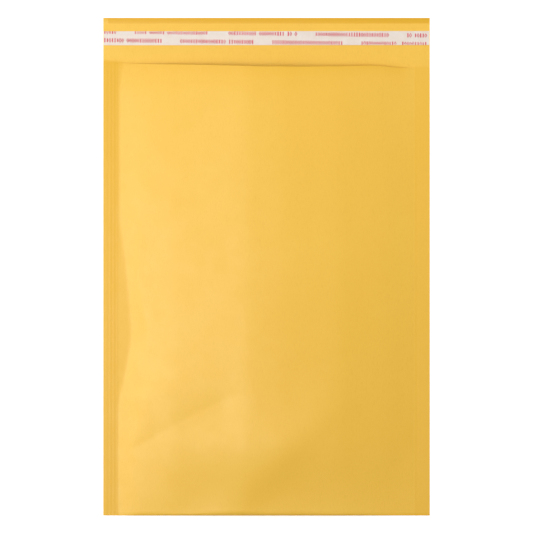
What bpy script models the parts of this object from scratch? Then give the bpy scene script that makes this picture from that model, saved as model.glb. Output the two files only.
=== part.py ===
"""A paper envelope lined with bubble film, lying open and empty on its back.

It is built the way the real one is made. One web of kraft paper is folded at
the bottom: it is the back, the flap beyond the mouth, and the front. One web
of bubble film is folded inside it, and its two plies are fused along both
side seams, so that they form a pocket which is open only at the mouth. The
flap carries a strip of adhesive under a paper release strip.

Lengths are in metres. +Z is up, +Y runs from the bottom fold to the flap's
tip, and the origin is under the middle of the envelope.
"""

import math

import bmesh
import bpy
from mathutils import Matrix, Vector

# Driving dimensions.
WIDTH = 0.2667
LENGTH = 0.4064
FLAP_LENGTH = 0.0381
SEAM_WIDTH = 0.0127
PAPER = 0.00015
SEALED_FILM = 0.00015
BUBBLE_PLY = 0.0030
POCKET_GAPE = 0.0050
POCKET_MARGIN = 0.0010
CLEARANCE = 0.0003

# How the front swells between the seams, the bottom fold and the mouth.
LEFT_RISE = 0.036
RIGHT_RISE = 0.088
BOTTOM_RISE = 0.070
FOLD_SHARE = 0.42
LIP_FLARE = 0.0008
LIP_LENGTH = 0.024

# Where the bubble film and the front's edge end at the mouth.
FILM_RECESS = 0.0030
MOUTH_WAVE = 0.0012
MOUTH_WAVES = 1.5
SQUASHED_SHARE = 0.46

# The closure on the flap.
RELEASE_WIDTH = 0.0114
RELEASE_LENGTH = 0.2660
RELEASE_THICKNESS = 0.00010
RELEASE_TO_TIP = 0.0165
RELEASE_TILT = math.radians(0.05)
ADHESIVE_WIDTH = 0.0090
ADHESIVE_LENGTH = 0.2560
ADHESIVE_THICKNESS = 0.00010

# Colour and roughness of each material.
KRAFT_FINISH = ((0.90, 0.50, 0.05), 0.55)
FILM_FINISH = ((0.85, 0.88, 0.88), 0.25)
ADHESIVE_FINISH = ((0.83, 0.71, 0.42), 0.20)
RELEASE_FINISH = ((0.86, 0.78, 0.70), 0.40)

FOLD_Y = -LENGTH / 2
TIP_Y = LENGTH / 2
MOUTH_Y = TIP_Y - FLAP_LENGTH
EDGE_X = WIDTH / 2
SEAM_X = EDGE_X - SEAM_WIDTH
POCKET_X = SEAM_X - POCKET_MARGIN
FILM_END_Y = MOUTH_Y - FILM_RECESS
SKIN = PAPER + CLEARANCE
SEAM_TOP = 2 * SKIN + SEALED_FILM
CROWN = 2 * (SKIN + BUBBLE_PLY) + POCKET_GAPE

# How finely the curved parts are divided, and where their shading breaks.
BEND_STEPS = 8
FRONT_STEPS = 15
LEFT_STEPS = 6
CROWN_STEPS = 3
RIGHT_STEPS = 8
SHARP_ANGLE = math.radians(40)


def ease(share):
    """0 up to 1, level at both ends."""
    share = min(1.0, max(0.0, share))
    return share * share * (3 - 2 * share)


def front_height(x, y):
    """Height of the front's outer face above the table."""
    across = ease((x + SEAM_X) / LEFT_RISE) * ease((SEAM_X - x) / RIGHT_RISE)
    along = FOLD_SHARE + (1 - FOLD_SHARE) * ease((y - FOLD_Y) / BOTTOM_RISE)
    flare = LIP_FLARE * ease(1 - (MOUTH_Y - y) / LIP_LENGTH)
    return SEAM_TOP + (CROWN - SEAM_TOP) * across * along + flare * across


def mouth_edge(x):
    """Where the front's free edge ends: it is pulled down a little where it swells."""
    wave = math.cos(MOUTH_WAVES * math.pi * x / EDGE_X)
    return MOUTH_Y - MOUTH_WAVE * wave


def fold_radius(x):
    return front_height(x, FOLD_Y) / 2


def ply_thickness(x, y):
    """Thickness of one bubble ply, which is squashed where the envelope is thin."""
    room = front_height(x, y) - 2 * SKIN
    return min(BUBBLE_PLY, SQUASHED_SHARE * room)


def row_shares():
    """How far up the front each row lies, closer together near the fold and the mouth."""
    return [0.5 - 0.5 * math.cos(math.pi * k / FRONT_STEPS) for k in range(FRONT_STEPS + 1)]


def wrapped(x, inset, front_end, back_end):
    """Points on a layer that lies inset from the paper's outer face.

    They run along the back towards the fold, round it, and up the front.
    """
    radius = fold_radius(x)
    bend_y = FOLD_Y + radius
    shares = row_shares()
    back = [Vector((x, bend_y + (back_end - bend_y) * s, inset)) for s in reversed(shares)]
    bend = []
    for step in range(1, BEND_STEPS):
        angle = math.pi * step / BEND_STEPS
        y = bend_y - (radius - inset) * math.sin(angle)
        z = radius - (radius - inset) * math.cos(angle)
        bend.append(Vector((x, y, z)))
    front = []
    for s in shares:
        y = bend_y + (front_end - bend_y) * s
        front.append(Vector((x, y, front_height(x, y) - inset)))
    return back + bend + front


def pocket_wall(x):
    """Points on the pocket's inner face, from the mouth down the back ply and up the front one."""
    radius = fold_radius(x)
    start_y = FOLD_Y + radius + ply_thickness(x, FOLD_Y)
    back = []
    front = []
    for s in row_shares():
        y = start_y + (FILM_END_Y - start_y) * s
        ply = ply_thickness(x, y)
        back.append(Vector((x, y, SKIN + ply)))
        front.append(Vector((x, y, front_height(x, y) - SKIN - ply)))
    return list(reversed(back)) + front


def column_places():
    """The X places of the grid: the seams, the left rise, the level crown and the right slope."""
    left = [-POCKET_X + LEFT_RISE * k / LEFT_STEPS for k in range(LEFT_STEPS + 1)]
    right = [POCKET_X - RIGHT_RISE * k / RIGHT_STEPS for k in range(RIGHT_STEPS, -1, -1)]
    crown_step = (right[0] - left[-1]) / CROWN_STEPS
    crown = [left[-1] + crown_step * k for k in range(1, CROWN_STEPS)]
    return [-EDGE_X, -SEAM_X, *left, *crown, *right, SEAM_X, EDGE_X]


def add_rows(mesh, rows):
    return [[mesh.verts.new(point) for point in row] for row in rows]


def skin_grid(mesh, rows):
    for near, far in zip(rows, rows[1:]):
        for k in range(len(near) - 1):
            mesh.faces.new((near[k], near[k + 1], far[k + 1], far[k]))


def finished(name, mesh, material):
    """The bmesh as a named object with its faces pointing out."""
    bmesh.ops.recalc_face_normals(mesh, faces=mesh.faces)
    data = bpy.data.meshes.new(name)
    mesh.to_mesh(data)
    mesh.free()
    data.shade_smooth()
    data.set_sharp_from_angle(angle=SHARP_ANGLE)
    data.materials.append(material)
    made = bpy.data.objects.new(name, data)
    bpy.context.scene.collection.objects.link(made)
    return made


def surface(name, finish):
    colour, roughness = finish
    material = bpy.data.materials.new(name)
    material.use_nodes = True
    shader = material.node_tree.nodes["Principled BSDF"]
    shader.inputs["Base Color"].default_value = (*colour, 1.0)
    shader.inputs["Roughness"].default_value = roughness
    shader.inputs["Metallic"].default_value = 0.0
    return material


def kraft_cover():
    """The folded paper: back, flap and front in one sheet of one thickness."""
    mesh = bmesh.new()
    faces = []
    for inset in (0.0, PAPER):
        rows = []
        for x in column_places():
            flap_tip = Vector((x, TIP_Y, inset))
            rows.append([flap_tip, *wrapped(x, inset, mouth_edge(x), MOUTH_Y)])
        faces.append(add_rows(mesh, rows))
    outer, inner = faces
    skin_grid(mesh, outer)
    skin_grid(mesh, inner)
    last = len(outer[0]) - 1
    for column in (0, len(outer) - 1):
        for k in range(last):
            rim = (outer[column][k], outer[column][k + 1], inner[column][k + 1], inner[column][k])
            mesh.faces.new(rim)
    for k in (0, last):
        for column in range(len(outer) - 1):
            rim = (outer[column][k], outer[column + 1][k], inner[column + 1][k], inner[column][k])
            mesh.faces.new(rim)
    return finished("kraft_cover", mesh, surface("kraft_paper", KRAFT_FINISH))


def bubble_liner():
    """The folded bubble film: one solid with fused side margins and a pocket open at the mouth."""
    mesh = bmesh.new()
    places = column_places()
    outer = add_rows(mesh, [wrapped(x, SKIN, FILM_END_Y, FILM_END_Y) for x in places])
    first = places.index(-POCKET_X)
    beyond = places.index(POCKET_X) + 1
    pocket = add_rows(mesh, [pocket_wall(x) for x in places[first:beyond]])
    skin_grid(mesh, outer)
    skin_grid(mesh, pocket)
    # The side walls: each closes the fold between the back ply's edge and the front one's.
    for rows in (outer, pocket):
        last = len(rows[0]) - 1
        for row in (rows[0], rows[-1]):
            for k in range(last // 2):
                corners = (row[k], row[k + 1], row[last - k - 1], row[last - k])
                mesh.faces.new(list(dict.fromkeys(corners)))
    # The rim at the mouth: a lip on each ply along the pocket, and closed beyond it.
    for column in range(len(outer) - 1):
        near, far = outer[column], outer[column + 1]
        if first <= column < beyond - 1:
            near_wall, far_wall = pocket[column - first], pocket[column - first + 1]
            for end in (0, -1):
                mesh.faces.new((near[end], far[end], far_wall[end], near_wall[end]))
            continue
        rim = [near[0], far[0], far[-1], near[-1]]
        if column == first - 1:
            rim[2:2] = [pocket[0][0], pocket[0][-1]]
        if column == beyond - 1:
            rim += [pocket[-1][-1], pocket[-1][0]]
        mesh.faces.new(rim)
    return finished("bubble_liner", mesh, surface("bubble_film", FILM_FINISH))


def strip(name, size, centre, turn, material):
    """A thin flat strip, given by its length, width and thickness, turned about its own middle."""
    mesh = bmesh.new()
    shape = Matrix.Rotation(turn, 4, "Z") @ Matrix.Diagonal((*size, 1.0))
    bmesh.ops.create_cube(mesh, size=1.0, matrix=shape)
    made = finished(name, mesh, material)
    made.location = centre
    return made


def closure():
    """The adhesive on the flap's inner face and the release strip that covers it."""
    strip_y = TIP_Y - RELEASE_TO_TIP
    adhesive_z = SKIN + ADHESIVE_THICKNESS / 2
    release_z = SKIN + ADHESIVE_THICKNESS + CLEARANCE + RELEASE_THICKNESS / 2
    strip(
        "adhesive_strip",
        (ADHESIVE_LENGTH, ADHESIVE_WIDTH, ADHESIVE_THICKNESS),
        (0.0, strip_y, adhesive_z),
        RELEASE_TILT,
        surface("hot_melt_adhesive", ADHESIVE_FINISH),
    )
    strip(
        "release_strip",
        (RELEASE_LENGTH, RELEASE_WIDTH, RELEASE_THICKNESS),
        (0.0, strip_y, release_z),
        RELEASE_TILT,
        surface("release_paper", RELEASE_FINISH),
    )


def main():
    for old in list(bpy.data.objects):
        bpy.data.objects.remove(old)
    kraft_cover()
    bubble_liner()
    closure()


main()
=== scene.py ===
# Padded envelope, lying open and empty on its back: golden kraft paper round bubble film,
# with a flap that carries an adhesive strip under release paper. Metres, +Z up.
import math

import bpy
import numpy as np
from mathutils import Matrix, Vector, noise


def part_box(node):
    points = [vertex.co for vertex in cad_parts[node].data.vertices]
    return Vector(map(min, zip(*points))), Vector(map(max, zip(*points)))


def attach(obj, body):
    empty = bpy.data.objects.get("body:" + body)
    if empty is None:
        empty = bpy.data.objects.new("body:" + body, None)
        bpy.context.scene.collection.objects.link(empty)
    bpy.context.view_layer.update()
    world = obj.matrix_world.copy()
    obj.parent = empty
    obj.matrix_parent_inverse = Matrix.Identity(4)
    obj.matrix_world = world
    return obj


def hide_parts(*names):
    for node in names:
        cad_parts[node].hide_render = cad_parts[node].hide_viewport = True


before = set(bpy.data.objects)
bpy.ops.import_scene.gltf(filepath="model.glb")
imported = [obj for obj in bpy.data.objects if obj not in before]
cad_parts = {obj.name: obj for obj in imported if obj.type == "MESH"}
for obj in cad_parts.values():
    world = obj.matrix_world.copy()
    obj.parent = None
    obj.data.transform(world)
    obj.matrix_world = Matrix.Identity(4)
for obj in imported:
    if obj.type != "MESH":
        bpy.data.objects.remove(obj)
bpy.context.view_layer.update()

mm = 0.001
print("frame loaded:", ", ".join(sorted(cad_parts)))

coverLow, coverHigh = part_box("kraft_cover")
linerLow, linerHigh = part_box("bubble_liner")
stripLow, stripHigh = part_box("release_strip")
glueLow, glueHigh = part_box("adhesive_strip")
edgeX = coverHigh.x
foldY = coverLow.y
tipY = coverHigh.y
filmEndY = linerHigh.y
stripY = (stripLow.y + stripHigh.y) / 2


# ---- shapes shared by the paper and the film

frontForm = {
    "seamTop": 0.50 * mm,         # two papers and the fused film between them
    "crown": 11.6 * mm,
    "seamWidth": 12.7 * mm,
    "foldShare": 0.40,            # how thick the bottom fold is, as a share of the crown
    "bottomRise": 64 * mm,
    "lipFlare": -0.5 * mm,        # the lip droops a little towards its edge
    "lipLength": 22 * mm,
    # the line where the flat left seam ends and the swell begins: (y, x)
    "leftFoot": [(-203, -121.2), (-118, -121.0), (-104, -119.6), (-94, -116.6), (-62, -110.8),
                 (-46, -110.6), (-8, -113.8), (38, -119.6), (144, -119.8), (166, -117.0)],
    # the line where the steep left facet turns into the front: (y, x)
    "leftRidge": [(-203, -111.5), (-150, -109.0), (-122, -103.0), (-106, -104.5), (-94, -112.6),
                  (-72, -100.5), (-55, -95.6), (-33, -101.5), (-8, -104.6), (38, -104.0),
                  (144, -101.0), (166, -99.0)],
    # and how high that line stands above the seam: (y, height)
    "ridgeHeight": [(-203, 3.0), (-150, 3.5), (-122, 4.4), (-106, 4.0), (-94, 1.7), (-72, 4.0), (-55, 5.3),
                    (-8, 4.4), (60, 4.4), (110, 3.6), (166, 2.5)],
    # how the front runs on to the right of the ridge: (x, share of the crown)
    "crossShares": [(-78, 0.71), (-46, 0.87), (-16, 1.0), (12, 0.94), (60, 0.70), (96, 0.31),
                    (111, 0.11), (121, 0.0)],
    # and the same at the mouth, where it lies flatter
    "mouthShares": [(-78, 0.46), (-46, 0.77), (-16, 0.98), (12, 0.98), (60, 0.70), (96, 0.30),
                    (111, 0.11), (121, 0.0)],
    "mouthFrom": 40 * mm,         # it starts to flatten from here up
    "freeRise": 3 * mm,           # the paper lies free where the front is this much above the seams
    "pressedShare": 0.25,         # below this share of the crown the creases fade out
    # the front's free edge at the mouth: (x, y)
    "mouthEdge": [(-133.4, 167.4), (-122, 166.8), (-112, 165.9), (-87, 165.2), (-38, 164.1), (-6, 163.1),
                  (28, 162.9), (60, 163.3), (85, 164.0), (96, 163.6), (105, 162.6), (116, 162.3),
                  (133.4, 162.6)],
}

# a hollow pressed into the front at the lower left: it deepens from its upper edge down to a
# crease, and comes up again below the crease and beyond its right edge; lines of (x, y)
frontHollow = {
    "upperEdge": [(-109, -133), (-104, -116), (-94.6, -99.7), (-66, -87), (-57, -70), (-43.8, -58)],
    "crease": [(-112, -149), (-107.5, -146.6), (-84.1, -134.8), (-67.2, -124.5), (-51.5, -116.6),
               (-30, -107.5)],
    "rightEdge": [(-54, -50), (-44, -72.3), (-38, -91.9), (-38, -116)],
    "depth": 1.0,
    "bend": 1.2,                  # above 1 it deepens faster towards the crease
    "lowerWidth": 60,
    "rightWidth": 34,
    "leftEnd": -124,
    "leftRise": 34,
    "fade": 14,
}
# folds: a line, how far it sinks (negative: stands up), how wide it is towards the upper left
# and the lower right of the line, its power (1 is a sharp crease, 2 a round one), and whether
# it stays crisp where the rest is softened
frontFolds = [
    {"line": [(-98, -142.0), (-84.1, -134.8), (-67.2, -124.5), (-51.5, -116.6), (-40, -111.5)],
     "depth": 0.85, "upperWidth": 15, "lowerWidth": 110, "fade": 24, "power": 1.1, "crisp": True},
    {"line": [(-99, -185), (-95, -108)], "depth": -1.5,
     "upperWidth": 13, "lowerWidth": 48, "fade": 22, "power": 2, "crisp": False},
    {"line": [(-34, -203), (-13, -179), (16, -149), (36, -130)], "depth": -1.0,
     "upperWidth": 18, "lowerWidth": 15, "fade": 24, "power": 2, "crisp": False},
]
# shallow dents: (x, y, radius, depth)
frontDimples = [(113, -154, 6, 0.22), (62, -170, 7, 0.22), (113, -94, 6, 0.14), (88, -136, 5, 0.08)]


def along(points, values):
    where = np.array([p[0] for p in points], float) * mm
    what = np.array([p[1] for p in points], float)
    return np.interp(values, where, what)


def ease(share):
    share = np.clip(share, 0, 1)
    return share * share * (3 - 2 * share)


def mouthY(x):
    return along(frontForm["mouthEdge"], x) * mm


def lineOffset(x, y, points):
    # signed distance to a line, positive towards the upper left, and how far past its ends
    line = np.array(points, float) * mm
    best = np.full(x.shape, 1e9)
    side = np.zeros(x.shape)
    past = np.zeros(x.shape)
    last = len(line) - 2
    for k in range(len(line) - 1):
        start, step = line[k], line[k + 1] - line[k]
        size = np.hypot(*step)
        share = ((x - start[0]) * step[0] + (y - start[1]) * step[1]) / size**2
        beyond = np.where(share < 0, -share if k == 0 else 0, 0) + \
            np.where(share > 1, share - 1 if k == last else 0, 0)
        held = np.clip(share, 0, 1)
        away = np.hypot(x - start[0] - held * step[0], y - start[1] - held * step[1])
        turn = (y - start[1]) * step[0] - (x - start[0]) * step[1]
        nearer = away < best
        best = np.where(nearer, away, best)
        side = np.where(nearer, turn / size, side)
        past = np.where(nearer, beyond * size, past)
    return side, past


def hollowDepth(x, y):
    hollow = frontHollow
    aboveCrease, past = lineOffset(x, y, hollow["crease"])
    insideEdge = -lineOffset(x, y, hollow["upperEdge"])[0]
    insideRight = lineOffset(x, y, hollow["rightEdge"])[0]
    reach = np.maximum(aboveCrease, 0) + np.maximum(insideEdge, 0)
    sunk = (np.clip(insideEdge, 0, None) / np.maximum(reach, mm)) ** hollow["bend"]
    risen = 1 - ease(-aboveCrease / (hollow["lowerWidth"] * mm))
    sunk = np.where(aboveCrease > 0, sunk, risen)
    held = 1 - ease(insideRight / (hollow["rightWidth"] * mm))
    fade = np.exp(-((past / (hollow["fade"] * mm)) ** 2))
    fade = fade * ease((x - hollow["leftEnd"] * mm) / (hollow["leftRise"] * mm))
    return hollow["depth"] * mm * sunk * held * fade


def foldDepth(x, y, fold):
    side, past = lineOffset(x, y, fold["line"])
    width = np.where(side > 0, fold["upperWidth"], fold["lowerWidth"]) * mm
    profile = (np.abs(side) / width) ** fold["power"]
    return fold["depth"] * mm * np.exp(-profile - (past / (fold["fade"] * mm)) ** 2)


def foldsDepth(x, y, crisp):
    return sum(foldDepth(x, y, fold) for fold in frontFolds if fold["crisp"] == crisp)


def frontHeight(x, y):
    form = frontForm
    foot = along(form["leftFoot"], y) * mm
    ridge = along(form["leftRidge"], y) * mm
    ridgeRise = along(form["ridgeHeight"], y) * mm
    rise = form["crown"] - form["seamTop"]
    facet = ridgeRise * np.clip((x - foot) / (ridge - foot), 0, 1)
    start = ridgeRise / rise
    towardsMouth = ease((y - form["mouthFrom"]) / (tipY - form["mouthFrom"]))
    firstX = form["crossShares"][0][0] * mm
    crossShare, mouthShare = along(form["crossShares"], x), along(form["mouthShares"], x)
    rest = crossShare * (1 - towardsMouth) + mouthShare * towardsMouth
    crossFirst, mouthFirst = form["crossShares"][0][1], form["mouthShares"][0][1]
    firstShare = crossFirst * (1 - towardsMouth) + mouthFirst * towardsMouth
    first = start + (firstShare - start) * np.clip((x - ridge) / (firstX - ridge), 0, 1)
    across = np.where(x < ridge, facet / rise, np.where(x < firstX, first, rest))
    lengthwise = form["foldShare"] + (1 - form["foldShare"]) * ease((y - foldY) / form["bottomRise"])
    flare = form["lipFlare"] * ease(1 - (mouthY(x) - y) / form["lipLength"])
    height = form["seamTop"] + rise * across * lengthwise + flare * np.sqrt(np.clip(across, 0, 1))
    inside = ease(across / form["pressedShare"])
    height = height - hollowDepth(x, y) * inside
    height = height - foldsDepth(x, y, crisp=False) * inside
    for dimpleX, dimpleY, radius, depth in frontDimples:
        away = np.hypot(x - dimpleX * mm, y - dimpleY * mm) / (radius * mm)
        height = height - depth * mm * np.exp(-away**2) * inside
    return np.maximum(height, form["seamTop"])


# the same form on a regular grid, softened more where the paper is not creased
formGrid = {
    "step": 1.0 * mm,
    "crisp": 1.1,                 # in steps
    "soft": 4.5,
    "crispUntil": -100 * mm,      # across, beside the left facet
    "softFrom": -84 * mm,
    "crispBelow": -15 * mm,       # and lengthwise: the facet is only creased in its lower part
    "softAbove": 60 * mm,
    "mostSoft": 0.85,
    "rightKept": 9 * mm,          # how far from each seam it stays crisp
    "leftKept": 5 * mm,
}


def blurred(field, sigma):
    reach = int(3 * sigma) + 1
    kernel = np.exp(-0.5 * (np.arange(-reach, reach + 1) / sigma) ** 2)
    kernel /= kernel.sum()
    for axis in (0, 1):
        padding = [(reach, reach) if k == axis else (0, 0) for k in (0, 1)]
        padded = np.pad(field, padding, mode="edge")
        field = np.apply_along_axis(np.convolve, axis, padded, kernel, mode="valid")
    return field


def freeShare(height):
    # 0 over the seams, 1 where the paper lies free
    return ease((height - frontForm["seamTop"]) / frontForm["freeRise"])


def softenedForm():
    step = formGrid["step"]
    xs = np.arange(-edgeX - step, edgeX + 2 * step, step)
    ys = np.arange(foldY - step, tipY, step)
    gridX, gridY = np.meshgrid(xs, ys, indexing="ij")
    raw = frontHeight(gridX, gridY)
    crisp = blurred(raw, formGrid["crisp"])
    soft = blurred(raw, formGrid["soft"])
    across = (gridX - formGrid["crispUntil"]) / (formGrid["softFrom"] - formGrid["crispUntil"])
    upwards = (gridY - formGrid["crispBelow"]) / (formGrid["softAbove"] - formGrid["crispBelow"])
    seamX = edgeX - frontForm["seamWidth"]
    nearEdge = ease((seamX - gridX) / formGrid["rightKept"]) * ease((seamX + gridX) / formGrid["leftKept"])
    mix = np.maximum(ease(across), ease(upwards)) * nearEdge * formGrid["mostSoft"]
    creases = foldsDepth(gridX, gridY, crisp=True) * freeShare(crisp)
    return xs, ys, crisp * (1 - mix) + soft * mix - creases


formXs, formYs, formHeights = softenedForm()


def formHeight(x, y):
    # bilinear read of the softened form
    step = formGrid["step"]
    column = np.clip((x - formXs[0]) / step, 0, len(formXs) - 1.001)
    row = np.clip((y - formYs[0]) / step, 0, len(formYs) - 1.001)
    c, r = column.astype(int), row.astype(int)
    u, v = column - c, row - r
    low = formHeights[c, r] * (1 - u) + formHeights[c + 1, r] * u
    high = formHeights[c, r + 1] * (1 - u) + formHeights[c + 1, r + 1] * u
    return low * (1 - v) + high * v


print("front form worked out")


# ---- materials

def newMaterial(name):
    made = bpy.data.materials.new(name)
    made.use_nodes = True
    return made, made.node_tree, made.node_tree.nodes["Principled BSDF"]


def addNode(tree, kind, values=None, **settings):
    made = tree.nodes.new(kind)
    for key, value in settings.items():
        setattr(made, key, value)
    for key, value in (values or {}).items():
        made.inputs[key].default_value = value
    return made


def patternSpace(tree, scale=(1, 1, 1), turn=(0, 0, 0)):
    # object coordinates, stretched and turned for a pattern
    coords = addNode(tree, "ShaderNodeTexCoord")
    mapping = addNode(tree, "ShaderNodeMapping", {"Scale": scale, "Rotation": turn})
    tree.links.new(coords.outputs["Object"], mapping.inputs["Vector"])
    return mapping.outputs["Vector"]


def noiseField(tree, space, scale, detail=2.0, roughness=0.5):
    made = addNode(tree, "ShaderNodeTexNoise", {"Scale": scale, "Detail": detail, "Roughness": roughness})
    tree.links.new(space, made.inputs["Vector"])
    return made.outputs["Fac"]


def remap(tree, value, fromLow, fromHigh, toLow, toHigh):
    made = addNode(tree, "ShaderNodeMapRange", {"From Min": fromLow, "From Max": fromHigh,
                                                "To Min": toLow, "To Max": toHigh})
    tree.links.new(value, made.inputs["Value"])
    return made.outputs["Result"]


def joined(tree, operation, first, second):
    made = addNode(tree, "ShaderNodeMath", operation=operation)
    for k, value in enumerate((first, second)):
        if isinstance(value, (int, float)):
            made.inputs[k].default_value = value
        else:
            tree.links.new(value, made.inputs[k])
    return made.outputs["Value"]


def mixedColour(tree, share, first, second):
    made = addNode(tree, "ShaderNodeMix", data_type="RGBA")
    tree.links.new(share, made.inputs["Factor"])
    for k, value in ((6, first), (7, second)):
        if isinstance(value, tuple):
            made.inputs[k].default_value = (*value, 1)
        else:
            tree.links.new(value, made.inputs[k])
    return made.outputs[2]


def bumped(tree, shader, height, distance, strength=1.0):
    made = addNode(tree, "ShaderNodeBump", {"Distance": distance, "Strength": strength})
    tree.links.new(height, made.inputs["Height"])
    tree.links.new(made.outputs["Normal"], shader.inputs["Normal"])


def attributeField(tree, name):
    return addNode(tree, "ShaderNodeAttribute", attribute_name=name).outputs["Fac"]


kraftPaper = {
    "sheet": (0.855, 0.511, 0.061),
    "mottle": (0.820, 0.470, 0.040),
    "fibre": (0.740, 0.390, 0.028),
    # darker colour of the heat-sealed seams, also used as painted shade beside the left seam
    "sealAndShade": (0.750, 0.405, 0.008),
    # darker band at the flap's tip, and painted shade along the tip's edge, the mouth line and the bottom
    # fold
    "bandAndPaintedShade": (0.770, 0.405, 0.004),
    "worn": (0.900, 0.590, 0.110),
    "cloudShare": 0.28,           # how much of the mottle, fibre, seal and painted shade colours shows
    "fibreShare": 0.30,
    "sealAndShadeShare": 0.85,
    "wornShare": 0.6,
    "fibreTurns": (0.2, 1.25, 2.3),
    "fibreScale": 1900,
    "cloudScale": 70,
    "broadScale": 9,
    "grainScale": 2600,
    "roughness": (0.36, 0.42),
    "fibreDepth": 0.02 * mm,
}


def kraftMaterial():
    look = kraftPaper
    made, tree, shader = newMaterial("goldenKraft")
    # short fibres lying three ways, cloudy formation under them
    fibres = []
    for turn in look["fibreTurns"]:
        space = patternSpace(tree, scale=(1.0, 0.14, 1.0), turn=(0, 0, turn))
        fibres.append(remap(tree, noiseField(tree, space, look["fibreScale"], 1.0), 0.60, 0.78, 0, 1))
    fibre = joined(tree, "MAXIMUM", joined(tree, "MAXIMUM", fibres[0], fibres[1]), fibres[2])
    plain = patternSpace(tree)
    cloud = remap(tree, noiseField(tree, plain, look["cloudScale"], 4.0, 0.6), 0.35, 0.70, 0, 1)
    broad = remap(tree, noiseField(tree, plain, look["broadScale"], 2.0), 0.35, 0.65, 0, 1)
    tone = joined(tree, "MULTIPLY", joined(tree, "ADD", cloud, broad), look["cloudShare"])
    colour = mixedColour(tree, tone, look["sheet"], look["mottle"])
    colour = mixedColour(tree, joined(tree, "MULTIPLY", fibre, look["fibreShare"]), colour, look["fibre"])
    # the seams' own sealed colour, and painted shade on the flat paper beside the left seam
    sealAndShade = attributeField(tree, "sealAndShade")
    colour = mixedColour(tree, joined(tree, "MULTIPLY", sealAndShade, look["sealAndShadeShare"]), colour, look["sealAndShade"])
    # the darker band at the flap's tip, and painted shade at the tip's edge, along the mouth and along the
    # bottom fold
    bandAndPaintedShade = attributeField(tree, "bandAndPaintedShade")
    colour = mixedColour(tree, bandAndPaintedShade, colour, look["bandAndPaintedShade"])
    worn = attributeField(tree, "worn")
    colour = mixedColour(tree, joined(tree, "MULTIPLY", worn, look["wornShare"]), colour, look["worn"])
    tree.links.new(colour, shader.inputs["Base Color"])
    tree.links.new(remap(tree, cloud, 0, 1, *look["roughness"]), shader.inputs["Roughness"])
    grain = noiseField(tree, plain, look["grainScale"], 3.0, 0.6)
    surface = joined(tree, "ADD", grain, joined(tree, "MULTIPLY", fibre, 0.6))
    bumped(tree, shader, surface, look["fibreDepth"])
    shader.inputs["Specular IOR Level"].default_value = 0.5
    return made


# ---- the kraft cover: one sheet that is the flap, the back and the front

kraftCover = {
    "thickness": 0.15 * mm,
    "seamStep": 0.62 * mm,        # column spacing over the seams
    "facetStep": 0.95 * mm,       # over the left facet
    "frontStep": 2.7 * mm,        # over the rest
    "facetLead": 1 * mm,          # the facet's columns start this far outside the seam
    "facetEnd": -90 * mm,
    "rightFine": 10 * mm,         # fine columns again just inside the right seam
    "rowStep": 2.2 * mm,
    "flapLength": 38.1 * mm,
    "behindMouth": 5.5 * mm,      # how far the flap's fine rows run on behind the front
    "backRows": 42,
    "flapStep": 1.4 * mm,
    "bendRows": 12,
    "tipBand": 4.4 * mm,          # creased strip along the flap's tip
    "creaseStep": 0.25 * mm,      # how sharp the band's edge is
    "tipRows": 5,
    "tipAngle": 17,
    "tipCurl": 0.25,              # how much of that angle comes only towards the edge
    "ribPitch": 2.9 * mm,         # heat-seal ribs along the side seams
    "ribHeight": 0.035 * mm,
    "rightRibHeight": 0.0105 * mm,
    "ribFadeInner": 0.8 * mm,
    "ribFadeOuter": 0.5 * mm,
    "wave": 0.22 * mm,            # slow unevenness of the sheet
    "wavesAcross": 22,            # per metre
    "wavesAlong": 15,
    "wornWidth": 0.7 * mm,        # paler along the cut sides
    "sharpAngle": 50,
}

# how deep the seams' darker sealed colour and the painted shade beside the left seam are, as shares
kraftSealAndShade = {
    "beside": 0.55,               # painted shade on the flat paper between the left seam and the swell
    "besideEdge": 1.4 * mm,
    "right": 0.42,
    "mouthFade": 2 * mm,
}

# the darker band at the flap's tip, and where shade is painted into the paper's colour: how much, and over
# what width
kraftBandAndShade = {
    "band": 0.78,
    "bandStart": 3.4 * mm,        # the band starts this far in from the left edge
    "rim": 0.8,                   # painted shade along the flap's very tip
    "rimWidth": 0.7 * mm,
    "flap": 0.42,                 # painted shadow on the flap along the mouth
    "flapWidth": 1.5 * mm,
    "flapUnder": 0.3 * mm,        # lower than this, the paper is the flap or the back
    "front": 0.42,                # painted shade on the front along the mouth
    "frontWidth": 10 * mm,
    "mouthEnd": 12 * mm,          # both end this far from the right side
    "mouthFade": 14 * mm,
    "fold": 0.55,                 # painted shade along the bottom fold
    "foldRight": 0.35,            # and this much more painted shade at its right end
    "foldWidth": 0.9 * mm,
}


def spread(start, end, step):
    count = max(1, round(abs(end - start) / step))
    return [start + (end - start) * k / count for k in range(count)]


def coverColumns():
    cover = kraftCover
    seamX = edgeX - frontForm["seamWidth"]
    facetStart, fineStart = -seamX - cover["facetLead"], seamX - cover["rightFine"]
    places = spread(-edgeX, facetStart, cover["seamStep"])
    places += spread(facetStart, cover["facetEnd"], cover["facetStep"])
    places += spread(cover["facetEnd"], fineStart, cover["frontStep"])
    places += spread(fineStart, seamX, cover["facetStep"])
    places += spread(seamX, edgeX, cover["seamStep"])
    return np.array(places + [edgeX])


def seamShare(x):
    # 1 over the side seams, 0 between them and at the cut sides
    cover = kraftCover
    inner = (np.abs(x) - edgeX + frontForm["seamWidth"]) / cover["ribFadeInner"]
    return ease(inner) * ease((edgeX - np.abs(x)) / cover["ribFadeOuter"])


def ribWave(x):
    return np.cos(2 * math.pi * (edgeX - np.abs(x)) / kraftCover["ribPitch"])


def paperWave(x, y):
    cover = kraftCover
    points = zip(np.ravel(x) * cover["wavesAcross"], np.ravel(y) * cover["wavesAlong"])
    values = [noise.noise(Vector((a, b, 0.0))) for a, b in points]
    return np.array(values).reshape(np.shape(x)) * cover["wave"]


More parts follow.
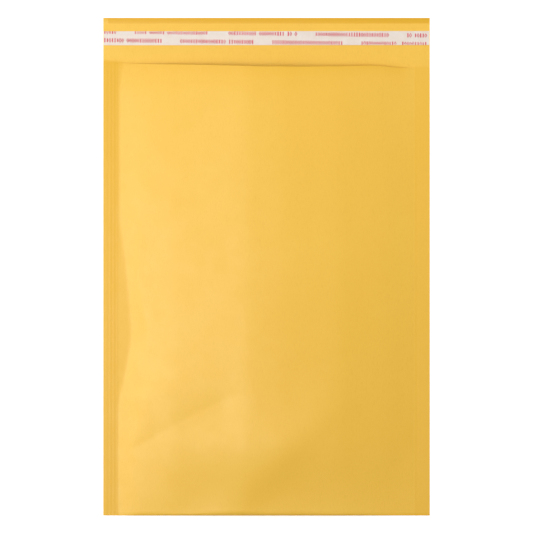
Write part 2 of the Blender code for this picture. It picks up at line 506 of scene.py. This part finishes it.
def frontSurface(x, y, ribs=True):
    height = formHeight(x, y)
    height = height + paperWave(x, y) * freeShare(height)
    if ribs:
        tall = np.where(x < 0, kraftCover["ribHeight"], kraftCover["rightRibHeight"])
        height = height + seamShare(x) * ribWave(x) * tall
    return height


def coverSheet():
    cover = kraftCover
    xs = coverColumns()
    bendRadius = formHeight(xs, np.full(xs.shape, foldY)) / 2
    bendY = foldY + bendRadius
    frontEnd = mouthY(xs)
    rows = []
    # the flap, from its tip down to the mouth; its inner face is the one that shows
    crease = tipY - cover["tipBand"]
    tilt = math.radians(cover["tipAngle"])
    for k in range(cover["tipRows"]):
        share = 1 - k / cover["tipRows"]
        run = share * cover["tipBand"]
        lift = math.sin(tilt * (1 - cover["tipCurl"] * (1 - share))) * run
        rows.append((xs, np.full(xs.shape, crease + run), np.full(xs.shape, lift)))
    mouth = tipY - cover["flapLength"]
    below = mouth - cover["behindMouth"]
    for y in [crease] + spread(crease - cover["creaseStep"], below, cover["flapStep"]):
        rows.append((xs, np.full(xs.shape, y), np.zeros(xs.shape)))
    # the back, towards the bottom fold
    for k in range(cover["backRows"] + 1):
        y = below + (bendY - below) * k / cover["backRows"]
        rows.append((xs, y, np.zeros(xs.shape)))
    for k in range(1, cover["bendRows"]):
        angle = math.pi * k / cover["bendRows"]
        y = bendY - bendRadius * math.sin(angle)
        rows.append((xs, y, bendRadius * (1 - math.cos(angle))))
    # the front, up to its free edge
    frontRows = round((mouth - foldY) / cover["rowStep"])
    for k in range(frontRows + 1):
        y = bendY + (frontEnd - bendY) * k / frontRows
        rows.append((xs, y, frontSurface(xs, y)))
    return rows


def sheetPoints(rows):
    return np.array([np.stack(row, axis=1) for row in rows]).reshape(-1, 3)


def gridMesh(name, rows):
    columns = len(rows[0][0])
    faces = []
    for r in range(len(rows) - 1):
        for c in range(columns - 1):
            a = r * columns + c
            faces.append((a, a + 1, a + columns + 1, a + columns))
    mesh = bpy.data.meshes.new(name)
    mesh.from_pydata(sheetPoints(rows).tolist(), [], faces)
    mesh.update()
    return mesh


def newPiece(name, mesh, material):
    made = bpy.data.objects.new(name, mesh)
    bpy.context.scene.collection.objects.link(made)
    mesh.materials.append(material)
    return made


def setField(mesh, name, values):
    field = mesh.attributes.new(name, "FLOAT", "POINT")
    field.data.foreach_set("value", np.asarray(values, np.float32))


def baked(piece):
    # the piece as its modifiers leave it, as a plain mesh
    bpy.context.view_layer.update()
    evaluated = piece.evaluated_get(bpy.context.evaluated_depsgraph_get())
    mesh = bpy.data.meshes.new_from_object(evaluated)
    mesh.name = piece.name
    old = piece.data
    piece.modifiers.clear()
    piece.data = mesh
    if old.users == 0:
        bpy.data.meshes.remove(old)
    return piece


def thickened(piece, thickness, sharpAngle):
    wall = piece.modifiers.new("wall", "SOLIDIFY")
    wall.thickness = thickness
    wall.offset = -1
    baked(piece)
    piece.data.shade_smooth()
    piece.data.set_sharp_from_angle(angle=math.radians(sharpAngle))
    return piece


def sealAndShadeField(x, y):
    # the seams' own darker heat-sealed colour; on the left, painted shade on the flat paper beside the seam,
    # up to the swell
    sealShares = kraftSealAndShade
    foot = along(frontForm["leftFoot"], y) * mm
    # painted shade on the flat paper beside the left seam
    beside = sealShares["beside"] * (1 - ease((x - foot) / sealShares["besideEdge"] + 0.5)) * (x < 0)
    belowMouth = ease((mouthY(x) - y) / sealShares["mouthFade"] + 1)
    return np.maximum(seamShare(x) * np.where(x < 0, 1.0, sealShares["right"]), beside) * belowMouth


def bandAndShadeField(x, y, z):
    # the darker band at the tip, and painted shade at the tip's edge, on both sides of the mouth line and
    # along the bottom fold
    shades = kraftBandAndShade
    band = np.where(y > tipY - kraftCover["tipBand"] - 0.01 * mm, shades["band"], 0)
    band = band * ease((x + edgeX - shades["bandStart"]) / mm)
    # painted shade along the tip's very edge
    rim = shades["rim"] * np.exp(-(tipY - y) / shades["rimWidth"])
    aboveMouth = y - mouthY(x)
    onFlap = z < shades["flapUnder"]
    reach = ease((edgeX - shades["mouthEnd"] - x) / shades["mouthFade"])
    # painted shadow on the flap just above the front's raised lip
    besideFlap = shades["flap"] * np.exp(-np.abs(aboveMouth) / shades["flapWidth"])
    flapSide = np.where(onFlap & (aboveMouth > -mm), besideFlap, 0)
    # painted shade on the front just below the mouth
    frontSide = np.where(onFlap, 0, shades["front"] * np.exp(-np.abs(aboveMouth) / shades["frontWidth"]))
    # painted shade along the bottom fold, deeper towards the right
    fold = np.exp(-((y - foldY) / shades["foldWidth"]) ** 2) * (shades["fold"] + shades["foldRight"] * x / edgeX)
    return np.clip(np.maximum(band, rim) + (flapSide + frontSide) * reach + fold, 0, 1)


def makeKraftCover():
    rows = coverSheet()
    mesh = gridMesh("kraftCover", rows)
    x, y, z = sheetPoints(rows).T
    setField(mesh, "sealAndShade", sealAndShadeField(x, y))
    setField(mesh, "bandAndPaintedShade", bandAndShadeField(x, y, z))
    setField(mesh, "worn", 1 - ease((edgeX - np.abs(x)) / kraftCover["wornWidth"]))
    piece = newPiece("kraftCover", mesh, kraftMaterial())
    thickened(piece, kraftCover["thickness"], kraftCover["sharpAngle"])
    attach(piece, "root")
    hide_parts("kraft_cover")
    print("kraft cover:", len(piece.data.polygons), "faces")


makeKraftCover()


# ---- Geometry Nodes helpers

def newTree(name, inputs):
    # inputs: name -> (socket kind, default)
    tree = bpy.data.node_groups.new(name, "GeometryNodeTree")
    tree.interface.new_socket("Geometry", in_out="INPUT", socket_type="NodeSocketGeometry")
    tree.interface.new_socket("Geometry", in_out="OUTPUT", socket_type="NodeSocketGeometry")
    for label, (kind, default) in inputs.items():
        socket = tree.interface.new_socket(label, in_out="INPUT", socket_type="NodeSocket" + kind)
        if default is not None:
            socket.default_value = default
    return tree, tree.nodes.new("NodeGroupInput"), tree.nodes.new("NodeGroupOutput")


def wire(tree, kind, links=None, values=None, **settings):
    # a node with some inputs linked and others set
    made = addNode(tree, kind, values, **settings)
    for key, source in (links or {}).items():
        tree.links.new(source, made.inputs[key])
    return made


def grown(piece, tree, values):
    # runs the tree on the piece, with its inputs set by identifier, and keeps the plain mesh
    step = piece.modifiers.new(tree.name, "NODES")
    step.node_group = tree
    for item in tree.interface.items_tree:
        if item.in_out == "INPUT" and item.name in values:
            step[item.identifier] = values[item.name]
    baked(piece)
    slots = piece.data.materials
    for k in reversed(range(len(slots))):
        if slots[k] is None:
            slots.pop(index=k)
    return piece


def randomValue(tree, low, high, seed, shift):
    seedNumber = joined(tree, "ADD", seed, shift)
    made = wire(tree, "FunctionNodeRandomValue", {"Seed": seedNumber}, data_type="FLOAT")
    made.inputs[2].default_value = low
    made.inputs[3].default_value = high
    return made.outputs[1]


# ---- the bubble film: a folded web and the bubbles on its inner face

bubbleFilm = {
    "thickness": 0.07 * mm,
    "gap": 0.02 * mm,             # from the paper, over the seams
    "slack": 0.70 * mm,           # and more than that where it lies free
    "reach": 1.7 * mm,            # it keeps below all of the paper within this far
    "facetStep": 1.1 * mm,        # column spacing over the left facet
    "facetStart": -122 * mm,
    "facetEnd": -90 * mm,
    "columnStep": 5.0 * mm,
    "rowStep": 3.2 * mm,
    "bendRows": 6,
    "sideInset": 0.2 * mm,
    "bubblePitch": 11.2 * mm,
    "bubbleRadius": 4.9 * mm,
    "bubbleHeight": 3.0 * mm,
    "squashedShare": 0.46,        # of the room between the papers, where that is less
    "leastHeight": 0.9 * mm,
    "sides": 12,
    "rings": 3,
    "capAngle": 78,
    "seed": 4,
    "colour": (0.95, 0.93, 0.87),
    "alpha": 0.13,
    "roughness": 0.12,
    "hazeScale": 55,
    "hazeRoughness": 0.12,
    "rippleScale": 320,
    "rippleDepth": 0.08 * mm,
}


def filmMaterial():
    look = bubbleFilm
    made, tree, shader = newMaterial("clearBubbleFilm")
    space = patternSpace(tree)
    haze = noiseField(tree, space, look["hazeScale"], 3.0)
    cooler = tuple(0.93 * c for c in look["colour"])
    tree.links.new(mixedColour(tree, haze, look["colour"], cooler), shader.inputs["Base Color"])
    tree.links.new(remap(tree, haze, 0.3, 0.7, look["roughness"], look["roughness"] + look["hazeRoughness"]),
                   shader.inputs["Roughness"])
    bumped(tree, shader, noiseField(tree, space, look["rippleScale"], 2.0), look["rippleDepth"])
    shader.inputs["Alpha"].default_value = look["alpha"]
    return made


def filmInset(height):
    # how far the film's outer face lies inside the paper's outer face
    film = bubbleFilm
    return kraftCover["thickness"] + film["gap"] + film["slack"] * freeShare(height)


def filmSheet():
    film = bubbleFilm
    side = edgeX - film["sideInset"]
    places = spread(-side, film["facetStart"], film["columnStep"])
    places += spread(film["facetStart"], film["facetEnd"], film["facetStep"])
    places += spread(film["facetEnd"], side, film["columnStep"])
    xs = np.array(places + [side])
    bendRadius = formHeight(xs, np.full(xs.shape, foldY)) / 2
    bendY = foldY + bendRadius
    count = round((filmEndY - foldY) / film["rowStep"])
    rows = []
    for k in range(count + 1):
        y = filmEndY + (bendY - filmEndY) * k / count
        rows.append((xs, y, filmInset(formHeight(xs, y))))
    for k in range(1, film["bendRows"]):
        angle = math.pi * k / film["bendRows"]
        inner = bendRadius - filmInset(2 * bendRadius)
        rows.append((xs, bendY - inner * math.sin(angle), bendRadius - inner * math.cos(angle)))
    around = (-film["reach"], 0, film["reach"])
    for k in range(count + 1):
        y = bendY + (filmEndY - bendY) * k / count
        near = [frontSurface(xs + a, y + b, ribs=False) for a in around for b in around]
        height = np.minimum.reduce(near)
        rows.append((xs, y, height - filmInset(height)))
    return rows


def bubblePlaces():
    # (place, inward direction, (radius, radius, height)) for each bubble of both plies
    film = bubbleFilm
    reach = edgeX - frontForm["seamWidth"] - film["bubbleRadius"]
    pitch = film["bubblePitch"]
    rowPitch = pitch * math.sqrt(0.75)
    places, inward, sizes = [], [], []
    row = 0
    y = filmEndY - film["bubbleRadius"] - 0.5 * mm
    while y > foldY + film["bubbleRadius"]:
        count = int(2 * reach / pitch)
        xs = (np.arange(count + 1) - count / 2 + (0.25 if row % 2 else -0.25)) * pitch
        xs = xs[np.abs(xs) <= reach]
        ys = np.full(xs.shape, y)
        height = frontSurface(xs, ys, ribs=False)
        slopeX = (formHeight(xs + mm, ys) - formHeight(xs - mm, ys)) / (2 * mm)
        slopeY = (formHeight(xs, ys + mm) - formHeight(xs, ys - mm)) / (2 * mm)
        inset = filmInset(height) + film["thickness"] * 0.5
        room = height - 2 * inset
        tall = np.minimum(film["bubbleHeight"], film["squashedShare"] * room)
        for k in np.flatnonzero(tall > film["leastHeight"]):
            size = (film["bubbleRadius"], film["bubbleRadius"], tall[k])
            places += [(xs[k], y, inset[k]), (xs[k], y, height[k] - inset[k])]
            inward += [(0, 0, 1), (slopeX[k], slopeY[k], -1)]
            sizes += [size, size]
        y -= rowPitch
        row += 1
    return places, inward, sizes


def bubbleTree():
    tree, start, end = newTree("growBubbles", {
        "Sides": ("Int", 12), "Rings": ("Int", 3), "Cap Angle": ("Float", 1.3),
        "Seed": ("Int", 0), "Film": ("Material", None)})
    tube = wire(tree, "GeometryNodeMeshCylinder",
                {"Vertices": start.outputs["Sides"], "Side Segments": start.outputs["Rings"]},
                {"Radius": 1.0, "Depth": 1.0}, fill_type="NGON")
    place = wire(tree, "ShaderNodeSeparateXYZ",
                 {"Vector": tree.nodes.new("GeometryNodeInputPosition").outputs["Position"]})
    climb = joined(tree, "ADD", place.outputs["Z"], 0.5)
    angle = joined(tree, "MULTIPLY", climb, start.outputs["Cap Angle"])
    width = joined(tree, "POWER", joined(tree, "COSINE", angle, 0.0), 0.55)
    rise = joined(tree, "DIVIDE", joined(tree, "SINE", angle, 0.0),
                  joined(tree, "SINE", start.outputs["Cap Angle"], 0.0))
    domed = wire(tree, "ShaderNodeCombineXYZ",
                 {"X": joined(tree, "MULTIPLY", place.outputs["X"], width),
                  "Y": joined(tree, "MULTIPLY", place.outputs["Y"], width), "Z": rise})
    dome = wire(tree, "GeometryNodeSetPosition",
                {"Geometry": tube.outputs["Mesh"], "Position": domed.outputs["Vector"]})
    inward = wire(tree, "GeometryNodeInputNamedAttribute", values={"Name": "inward"},
                  data_type="FLOAT_VECTOR")
    facing = wire(tree, "FunctionNodeAlignRotationToVector",
                  {"Vector": inward.outputs["Attribute"]}, axis="Z")
    size = wire(tree, "GeometryNodeInputNamedAttribute", values={"Name": "size"},
                data_type="FLOAT_VECTOR")
    uneven = wire(tree, "ShaderNodeVectorMath",
                  {0: size.outputs["Attribute"],
                   "Scale": randomValue(tree, 0.95, 1.0, start.outputs["Seed"], 1)}, operation="SCALE")
    placed = wire(tree, "GeometryNodeInstanceOnPoints",
                  {"Points": start.outputs["Geometry"], "Instance": dome.outputs["Geometry"],
                   "Rotation": facing.outputs["Rotation"], "Scale": uneven.outputs["Vector"]})
    real = wire(tree, "GeometryNodeRealizeInstances", {"Geometry": placed.outputs["Instances"]})
    smooth = wire(tree, "GeometryNodeSetShadeSmooth", {"Geometry": real.outputs["Geometry"]})
    finish = wire(tree, "GeometryNodeSetMaterial",
                  {"Geometry": smooth.outputs["Geometry"], "Material": start.outputs["Film"]})
    tree.links.new(finish.outputs["Geometry"], end.inputs["Geometry"])
    return tree


def makeBubbleFilm():
    film = bubbleFilm
    clear = filmMaterial()
    mesh = gridMesh("bubbleFilm", filmSheet())
    web = newPiece("bubbleFilm", mesh, clear)
    thickened(web, film["thickness"], kraftCover["sharpAngle"])
    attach(web, "root")
    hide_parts("bubble_liner")
    places, inward, sizes = bubblePlaces()
    seeds = bpy.data.meshes.new("bubbles")
    seeds.from_pydata(places, [], [])
    for name, values in (("inward", inward), ("size", sizes)):
        field = seeds.attributes.new(name, "FLOAT_VECTOR", "POINT")
        field.data.foreach_set("vector", np.array(values, np.float32).ravel())
    bubbles = newPiece("bubbles", seeds, clear)
    grown(bubbles, bubbleTree(), {
        "Sides": film["sides"], "Rings": film["rings"], "Cap Angle": math.radians(film["capAngle"]),
        "Seed": film["seed"], "Film": clear})
    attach(bubbles, "root")
    print("bubble film:", len(places), "bubbles,", len(bubbles.data.polygons), "faces")


makeBubbleFilm()


# ---- the adhesive and the release strip on the flap

flapTop = kraftCover["thickness"]

adhesive = {
    "thickness": 0.09 * mm,
    "lift": 0.005 * mm,
    "edgeWander": 0.25 * mm,
    "step": 2.0 * mm,
    "rows": 4,
    "colour": (0.83, 0.71, 0.42),
    "cloudy": (0.74, 0.60, 0.31),
    "cloudScale": 240,
    "cloudDepth": 0.03 * mm,
    "roughness": 0.22,
}

releaseStrip = {
    "thickness": 0.08 * mm,
    "tilt": math.radians(0.05),   # it runs slightly uphill to the right
    "step": 2.0 * mm,
    "rows": 8,
    "edgeLift": 0.10 * mm,
    "paper": (0.735, 0.635, 0.555),
    "paperPale": (0.765, 0.690, 0.625),
    "cloudScale": 160,
    "grainScale": 900,
    "grainDepth": 0.015 * mm,
    "roughness": 0.42,
}

printedMarks = {
    "ink": (0.62, 0.035, 0.075),
    "inkFaded": (0.68, 0.100, 0.140),
    "fadeScale": 130,
    "height": 3.6 * mm,
    "width": 1.75 * mm,
    "line": 0.74 * mm,
    "inkDepth": 0.012 * mm,
    "pitch": 2.08 * mm,
    "groupPitch": 74 * mm,
    "groupLength": 59.5 * mm,
    "slant": -0.0122,             # rise over run of the rows
    # for each row: its height at the middle, a group's start and a seed
    "rows": [(190.4, -108.0, 11), (183.4, -70.3, 23)],
}


def stripSpan(low, high):
    # length and width of a strip that is turned a little inside its box
    length = high.x - low.x
    return length, high.y - low.y - length * math.tan(releaseStrip["tilt"])


def ribbonSheet(length, width, step, rowCount, heightAt, wander=0.0):
    xs = np.array(spread(-length / 2, length / 2, step) + [length / 2])
    slope = math.tan(releaseStrip["tilt"])
    rows = []
    for k in range(rowCount + 1):
        share = 2 * k / rowCount - 1
        edge = np.array([noise.noise(Vector((a * 90, share * 3, 2.0))) for a in xs]) * wander
        y = stripY + xs * slope + share * (width / 2) + edge * abs(share)
        rows.append((xs, y, heightAt(xs, share)))
    return rows


def adhesiveMaterial():
    look = adhesive
    made, tree, shader = newMaterial("hotMeltAdhesive")
    cloud = remap(tree, noiseField(tree, patternSpace(tree), look["cloudScale"], 3.0), 0.35, 0.65, 0, 1)
    tree.links.new(mixedColour(tree, cloud, look["colour"], look["cloudy"]), shader.inputs["Base Color"])
    tree.links.new(remap(tree, cloud, 0, 1, look["roughness"], look["roughness"] + 0.1),
                   shader.inputs["Roughness"])
    bumped(tree, shader, cloud, look["cloudDepth"])
    return made


def makeAdhesive():
    look = adhesive
    length, width = stripSpan(glueLow, glueHigh)
    top = flapTop + look["lift"] + look["thickness"]
    rows = ribbonSheet(length, width, look["step"], look["rows"],
                       lambda xs, share: np.full(xs.shape, top), look["edgeWander"])
    mesh = gridMesh("adhesiveStrip", rows)
    piece = newPiece("adhesiveStrip", mesh, adhesiveMaterial())
    thickened(piece, look["thickness"], kraftCover["sharpAngle"])
    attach(piece, "root")
    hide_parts("adhesive_strip")
    return top


def releaseMaterial():
    look = releaseStrip
    made, tree, shader = newMaterial("releasePaper")
    space = patternSpace(tree)
    cloud = remap(tree, noiseField(tree, space, look["cloudScale"], 4.0, 0.7), 0.38, 0.66, 0, 1)
    tree.links.new(mixedColour(tree, cloud, look["paper"], look["paperPale"]), shader.inputs["Base Color"])
    tree.links.new(remap(tree, cloud, 0, 1, look["roughness"], look["roughness"] + 0.08),
                   shader.inputs["Roughness"])
    bumped(tree, shader, noiseField(tree, space, look["grainScale"], 2.0), look["grainDepth"])
    return made


def inkMaterial():
    look = printedMarks
    made, tree, shader = newMaterial("pinkInk")
    fade = remap(tree, noiseField(tree, patternSpace(tree), look["fadeScale"], 3.0), 0.35, 0.65, 0, 1)
    tree.links.new(mixedColour(tree, fade, look["ink"], look["inkFaded"]), shader.inputs["Base Color"])
    shader.inputs["Roughness"].default_value = 0.5
    return made


def markTree():
    # rows of small lozenges and upright dashes in groups, cut off at the strip's edges
    tree, start, end = newTree("stampMarks", {
        "Row Height": ("Float", 0.0), "Row Start": ("Float", 0.0), "Row Length": ("Float", 0.1),
        "Slant": ("Float", 0.0), "Pitch": ("Float", 0.002), "Group Pitch": ("Float", 0.07),
        "Group Start": ("Float", 0.0), "Group Length": ("Float", 0.06),
        "Mark Width": ("Float", 0.002), "Mark Height": ("Float", 0.003), "Line": ("Float", 0.0004),
        "Depth": ("Float", 0.00001), "Top": ("Float", 0.0), "Strip Height": ("Float", 0.0),
        "Strip Slope": ("Float", 0.0), "Strip Half": ("Float", 0.005),
        "Seed": ("Int", 0), "Ink": ("Material", None)})
    given = start.outputs
    count = joined(tree, "DIVIDE", given["Row Length"], given["Pitch"])
    first = wire(tree, "ShaderNodeCombineXYZ", {
        "X": given["Row Start"],
        "Y": joined(tree, "ADD", given["Row Height"],
                    joined(tree, "MULTIPLY", given["Row Start"], given["Slant"])),
        "Z": given["Top"]})
    stride = wire(tree, "ShaderNodeCombineXYZ", {
        "X": given["Pitch"], "Y": joined(tree, "MULTIPLY", given["Pitch"], given["Slant"])})
    row = wire(tree, "GeometryNodeMeshLine", {
        "Count": count, "Start Location": first.outputs["Vector"], "Offset": stride.outputs["Vector"]},
        mode="OFFSET")
    spot = wire(tree, "ShaderNodeSeparateXYZ",
                {"Vector": tree.nodes.new("GeometryNodeInputPosition").outputs["Position"]})
    inGroup = joined(tree, "FLOORED_MODULO",
                     joined(tree, "SUBTRACT", spot.outputs["X"], given["Group Start"]), given["Group Pitch"])
    between = joined(tree, "GREATER_THAN", inGroup, given["Group Length"])
    missing = joined(tree, "LESS_THAN", randomValue(tree, 0, 1, given["Seed"], 1), 0.07)
    kept = wire(tree, "GeometryNodeDeleteGeometry",
                {"Geometry": row.outputs["Mesh"], "Selection": joined(tree, "MAXIMUM", between, missing)},
                domain="POINT")
    ringLine = wire(tree, "GeometryNodeCurvePrimitiveCircle", values={"Resolution": 4, "Radius": 0.5})
    ringSize = wire(tree, "ShaderNodeCombineXYZ",
                    {"X": given["Mark Width"], "Y": given["Mark Height"]}, {"Z": 1.0})
    ringShape = wire(tree, "GeometryNodeTransform", {
        "Geometry": ringLine.outputs["Curve"], "Scale": ringSize.outputs["Vector"]})
    section = wire(tree, "GeometryNodeCurvePrimitiveQuadrilateral",
                   {"Width": given["Line"], "Height": given["Depth"]})
    ring = wire(tree, "GeometryNodeCurveToMesh", {
        "Curve": ringShape.outputs["Geometry"], "Profile Curve": section.outputs["Curve"]})
    barSize = wire(tree, "ShaderNodeCombineXYZ", {
        "X": joined(tree, "MULTIPLY", given["Line"], 1.3), "Y": given["Mark Height"], "Z": given["Depth"]})
    bar = wire(tree, "GeometryNodeMeshCube", {"Size": barSize.outputs["Vector"]})
    shapes = wire(tree, "GeometryNodeGeometryToInstance")
    for shape in (ring.outputs["Mesh"], bar.outputs["Mesh"]):
        tree.links.new(shape, shapes.inputs["Geometry"])
    size = wire(tree, "ShaderNodeCombineXYZ", {
        "X": randomValue(tree, 0.8, 1.05, given["Seed"], 2),
        "Y": randomValue(tree, 0.78, 1.0, given["Seed"], 3)}, {"Z": 1.0})
    placed = wire(tree, "GeometryNodeInstanceOnPoints", {
        "Points": kept.outputs["Geometry"], "Instance": shapes.outputs["Instances"],
        "Scale": size.outputs["Vector"],
        "Instance Index": joined(tree, "ROUND", randomValue(tree, -0.1, 1.2, given["Seed"], 4), 0.0)},
        {"Pick Instance": True})
    real = wire(tree, "GeometryNodeRealizeInstances", {"Geometry": placed.outputs["Instances"]})
    point = wire(tree, "ShaderNodeSeparateXYZ",
                 {"Vector": tree.nodes.new("GeometryNodeInputPosition").outputs["Position"]})
    middle = joined(tree, "ADD", given["Strip Height"],
                    joined(tree, "MULTIPLY", point.outputs["X"], given["Strip Slope"]))
    held = joined(tree, "MINIMUM", joined(tree, "SUBTRACT", point.outputs["Y"], middle), given["Strip Half"])
    held = joined(tree, "MAXIMUM", held, joined(tree, "MULTIPLY", given["Strip Half"], -1.0))
    heldPlace = wire(tree, "ShaderNodeCombineXYZ", {
        "X": point.outputs["X"], "Y": joined(tree, "ADD", held, middle), "Z": point.outputs["Z"]})
    cut = wire(tree, "GeometryNodeSetPosition",
               {"Geometry": real.outputs["Geometry"], "Position": heldPlace.outputs["Vector"]})
    inked = wire(tree, "GeometryNodeSetMaterial",
                 {"Geometry": cut.outputs["Geometry"], "Material": given["Ink"]})
    both = wire(tree, "GeometryNodeJoinGeometry")
    tree.links.new(inked.outputs["Geometry"], both.inputs["Geometry"])
    tree.links.new(start.outputs["Geometry"], both.inputs["Geometry"])
    tree.links.new(both.outputs["Geometry"], end.inputs["Geometry"])
    return tree


def makeReleaseStrip(glueTop):
    look = releaseStrip
    marks = printedMarks
    length, width = stripSpan(stripLow, stripHigh)
    top = glueTop + look["thickness"]

    def heightAt(xs, share):
        lift = np.array([noise.noise(Vector((a * 25, share, 7.0))) for a in xs])
        return top + look["edgeLift"] * abs(share) ** 4 * (0.5 + 0.5 * lift)

    rows = ribbonSheet(length, width, look["step"], look["rows"], heightAt)
    mesh = gridMesh("releaseStrip", rows)
    piece = newPiece("releaseStrip", mesh, releaseMaterial())
    thickened(piece, look["thickness"], kraftCover["sharpAngle"])
    ink = inkMaterial()
    tree = markTree()
    # each row of marks is stamped on in its turn
    for rowY, groupStart, seed in marks["rows"]:
        grown(piece, tree, {
            "Row Height": rowY * mm, "Row Start": -length / 2 + mm, "Row Length": length - mm,
            "Slant": marks["slant"], "Pitch": marks["pitch"], "Group Pitch": marks["groupPitch"],
            "Group Start": groupStart * mm, "Group Length": marks["groupLength"],
            "Mark Width": marks["width"], "Mark Height": marks["height"], "Line": marks["line"],
            "Depth": marks["inkDepth"], "Top": top + look["edgeLift"] * 0.5 + marks["inkDepth"],
            "Strip Height": stripY, "Strip Slope": math.tan(look["tilt"]), "Strip Half": width / 2,
            "Seed": seed, "Ink": ink})
    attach(piece, "root")
    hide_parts("release_strip")
    print("release strip:", len(piece.data.polygons), "faces")


makeReleaseStrip(makeAdhesive())


# ---- the floor, the lights and the camera

studio = {
    "floorSize": 3.0,
    "floorDrop": 0.2 * mm,
    "floorColour": (0.93, 0.93, 0.93),
    "floorGlow": 0.40,
    "skyStrength": 0.20,
    # name: (place, size, watts)
    "lamps": {
        "sideLamp": ((-1.05, 0.03, 0.62), 0.9, 6.7),
        "softBox": ((-0.70, 0.00, 1.10), 0.5, 2.3),
        "sheenLamp": ((-0.30, -0.12, 1.20), 0.6, 4.3),
        "topLamp": ((0.10, 1.00, 0.75), 0.6, 1.6),
        "fillLamp": ((0.65, 0.85, 1.00), 0.6, 8.2),
    },
    "viewWidth": 0.4354,          # how much of the table the picture takes in
    "cameraHeight": 3.0,
    "cameraShift": 0.15 * mm,
    "filmLayers": 40,             # how many layers of film the light may pass
    "sensor": 36.0,
}


def floorMaterial():
    made, tree, shader = newMaterial("paleFloor")
    cloud = noiseField(tree, patternSpace(tree), 6, 3.0)
    duller = tuple(0.99 * c for c in studio["floorColour"])
    colour = mixedColour(tree, cloud, studio["floorColour"], duller)
    tree.links.new(colour, shader.inputs["Base Color"])
    shader.inputs["Roughness"].default_value = 0.9
    shader.inputs["Emission Color"].default_value = (1, 1, 1, 1)
    shader.inputs["Emission Strength"].default_value = studio["floorGlow"]
    return made


def makeFloor():
    half = studio["floorSize"] / 2
    mesh = bpy.data.meshes.new("floor")
    corners = [(-half, -half), (half, -half), (half, half), (-half, half)]
    mesh.from_pydata([(x, y, -studio["floorDrop"]) for x, y in corners], [], [(0, 1, 2, 3)])
    floor = newPiece("floor", mesh, floorMaterial())


def makeLamp(name, place, size, power):
    lamp = bpy.data.lights.new(name, "AREA")
    lamp.shape = "SQUARE"
    lamp.size = size
    lamp.energy = power
    made = bpy.data.objects.new(name, lamp)
    bpy.context.scene.collection.objects.link(made)
    made.location = place
    made.rotation_mode = "QUATERNION"
    made.rotation_quaternion = (-Vector(place)).to_track_quat("-Z", "Y")


def makeStudio():
    makeFloor()
    for name, (place, size, power) in studio["lamps"].items():
        makeLamp(name, place, size, power)
    sky = bpy.data.worlds.new("sky")
    sky.use_nodes = True
    sky.node_tree.nodes["Background"].inputs["Color"].default_value = (1, 1, 1, 1)
    sky.node_tree.nodes["Background"].inputs["Strength"].default_value = studio["skyStrength"]
    scene = bpy.context.scene
    scene.world = sky
    scene.view_settings.view_transform = "Standard"
    scene.cycles.transparent_max_bounces = studio["filmLayers"]


def makeCamera():
    lens = bpy.data.cameras.new("camera")
    lens.sensor_width = studio["sensor"]
    lens.lens = studio["sensor"] * studio["cameraHeight"] / studio["viewWidth"]
    lens.clip_end = 2 * studio["cameraHeight"]
    camera = bpy.data.objects.new("camera", lens)
    bpy.context.scene.collection.objects.link(camera)
    camera.location = (0, studio["cameraShift"], studio["cameraHeight"])
    bpy.context.scene.camera = camera


makeStudio()
makeCamera()
print("studio ready")
